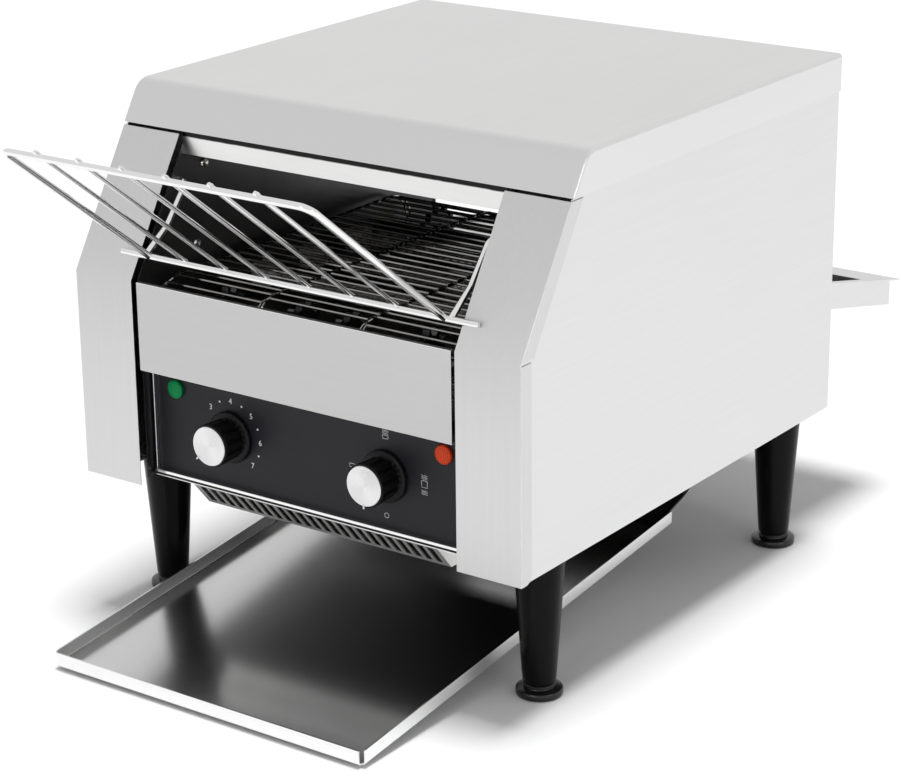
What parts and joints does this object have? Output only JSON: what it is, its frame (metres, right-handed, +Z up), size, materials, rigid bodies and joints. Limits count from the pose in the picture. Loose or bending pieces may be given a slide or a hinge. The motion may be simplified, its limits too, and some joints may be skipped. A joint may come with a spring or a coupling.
{
  "type": "conveyor toaster",
  "caption": "Countertop conveyor toaster with a wire feed rack, a heated belt chamber, a control panel, a collecting tray and four tall legs.",
  "frame": {"origin": "on the table, under the middle of the toaster's overall length and width", "axes": "+X to the right seen from the front, +Y from the front to the rear, +Z up"},
  "size_m": [0.3704, 0.665, 0.372],
  "materials": {
    "belt_wire": "heat-tinted wire",
    "black_metal": "satin black painted steel",
    "black_plastic": "moulded black plastic",
    "black_slide": "black heat-proof coating",
    "board_green": "circuit board",
    "bright_wire": "polished wire",
    "bronze": "sintered bronze",
    "brushed_steel": "brushed stainless sheet",
    "ceramic": "white ceramic",
    "dark_steel": "heat-darkened sheet",
    "folded_steel": "plain folded inner sheet",
    "foot_rubber": "black foot",
    "green_lens": "clear green lens",
    "grey_panel": "dark grey satin panel",
    "heater_tube": "frosted quartz tube",
    "red_lens": "clear red lens",
    "screw_steel": "zinc-plated",
    "steel_part": "plain steel"
  },
  "bodies": {
    "housing": {"left_front_column": "brushed_steel", "right_front_column": "brushed_steel", "left_side_panel": "brushed_steel", "right_side_panel": "brushed_steel", "top_cover": "brushed_steel", "upper_front_panel": "brushed_steel", "control_panel": "grey_panel", "panel_trim": "bright_wire", "vent_pan": "folded_steel", "base_plate": "folded_steel", "rear_panel": "brushed_steel", "left_chamber_wall": "dark_steel", "right_chamber_wall": "dark_steel", "header_plate": "folded_steel", "heat_shield": "folded_steel", "upper_reflector": "dark_steel", "lower_reflector": "dark_steel", "upper_heaters": "heater_tube", "lower_heaters": "heater_tube", "heater_holders": "ceramic", "heater_guard": "belt_wire", "conveyor_belt": "belt_wire", "shaft_bushes": "bronze", "drive_chain": "steel_part", "gear_motor": "steel_part", "motor_bracket": "folded_steel", "toast_slide": "black_slide", "tray_bracket": "black_slide", "front_left_leg": "black_metal", "front_right_leg": "black_metal", "rear_left_leg": "black_metal", "rear_right_leg": "black_metal", "green_lamp": "green_lens", "red_lamp": "red_lens", "speed_control": "board_green", "heat_switch": "black_plastic", "fan_frame": "black_plastic", "cable_gland": "black_plastic", "terminal_block": "black_plastic", "chamber_screws": "screw_steel", "rear_screws": "screw_steel"},
    "rack": {"feed_rack": "bright_wire"},
    "tray": {"collection_tray": "brushed_steel"},
    "outlet": {"rear_outlet": "brushed_steel"},
    "speed_dial": {"speed_knob": "black_plastic", "speed_knob_cap": "bright_wire"},
    "heat_dial": {"heat_knob": "black_plastic", "heat_knob_cap": "bright_wire"},
    "front_drive": {"front_shaft": "steel_part", "front_belt_wheels": "steel_part", "chain_sprocket": "steel_part"},
    "rear_drive": {"rear_shaft": "steel_part", "rear_belt_wheels": "steel_part"},
    "motor_drive": {"motor_shaft": "steel_part", "motor_sprocket": "steel_part"},
    "fan": {"fan_rotor": "black_plastic"},
    "front_left_foot_body": {"front_left_foot": "foot_rubber"},
    "front_right_foot_body": {"front_right_foot": "foot_rubber"},
    "rear_left_foot_body": {"rear_left_foot": "foot_rubber"},
    "rear_right_foot_body": {"rear_right_foot": "foot_rubber"}
  },
  "joints": [
    {"name": "rack_swing", "type": "hinge", "parent": "housing", "child": "rack", "pos_m": [0, -0.15351, 0.308], "axis": [-1, 0, 0], "range_deg": [0, 120]},
    {"name": "tray_slide", "type": "slide", "parent": "housing", "child": "tray", "axis": [0, -1, 0], "range_m": [0, 0.2]},
    {"name": "outlet_slide", "type": "slide", "parent": "housing", "child": "outlet", "axis": [0, 0.9762, -0.2167], "range_m": [0, 0.12]},
    {"name": "speed_turn", "type": "hinge", "parent": "housing", "child": "speed_dial", "pos_m": [-0.0653, -0.20551, 0.1454], "axis": [0, 1, 0], "range_deg": [0, 270]},
    {"name": "heat_turn", "type": "hinge", "parent": "housing", "child": "heat_dial", "pos_m": [0.0653, -0.20551, 0.1454], "axis": [0, 1, 0], "range_deg": [0, 270]},
    {"name": "front_shaft_turn", "type": "hinge", "parent": "housing", "child": "front_drive", "pos_m": [0, -0.16551, 0.22104], "axis": [1, 0, 0], "continuous": true},
    {"name": "rear_shaft_turn", "type": "hinge", "parent": "housing", "child": "rear_drive", "pos_m": [0, 0.07648, 0.22104], "axis": [1, 0, 0], "continuous": true},
    {"name": "motor_turn", "type": "hinge", "parent": "housing", "child": "motor_drive", "pos_m": [0, -0.10051, 0.14], "axis": [1, 0, 0], "continuous": true},
    {"name": "fan_turn", "type": "hinge", "parent": "housing", "child": "fan", "pos_m": [-0.045, -0.04551, 0.145], "axis": [0, 1, 0], "continuous": true},
    {"name": "front_left_foot_height", "type": "slide", "parent": "housing", "child": "front_left_foot_body", "axis": [0, 0, -1], "range_m": [0, 0.012]},
    {"name": "front_right_foot_height", "type": "slide", "parent": "housing", "child": "front_right_foot_body", "axis": [0, 0, -1], "range_m": [0, 0.012]},
    {"name": "rear_left_foot_height", "type": "slide", "parent": "housing", "child": "rear_left_foot_body", "axis": [0, 0, -1], "range_m": [0, 0.012]},
    {"name": "rear_right_foot_height", "type": "slide", "parent": "housing", "child": "rear_right_foot_body", "axis": [0, 0, -1], "range_m": [0, 0.012]}
  ],
  "couplings": [
    {"joint": "rear_shaft_turn", "follows": "front_shaft_turn", "ratio": 1},
    {"joint": "motor_turn", "follows": "front_shaft_turn", "ratio": 1.5}
  ]
}
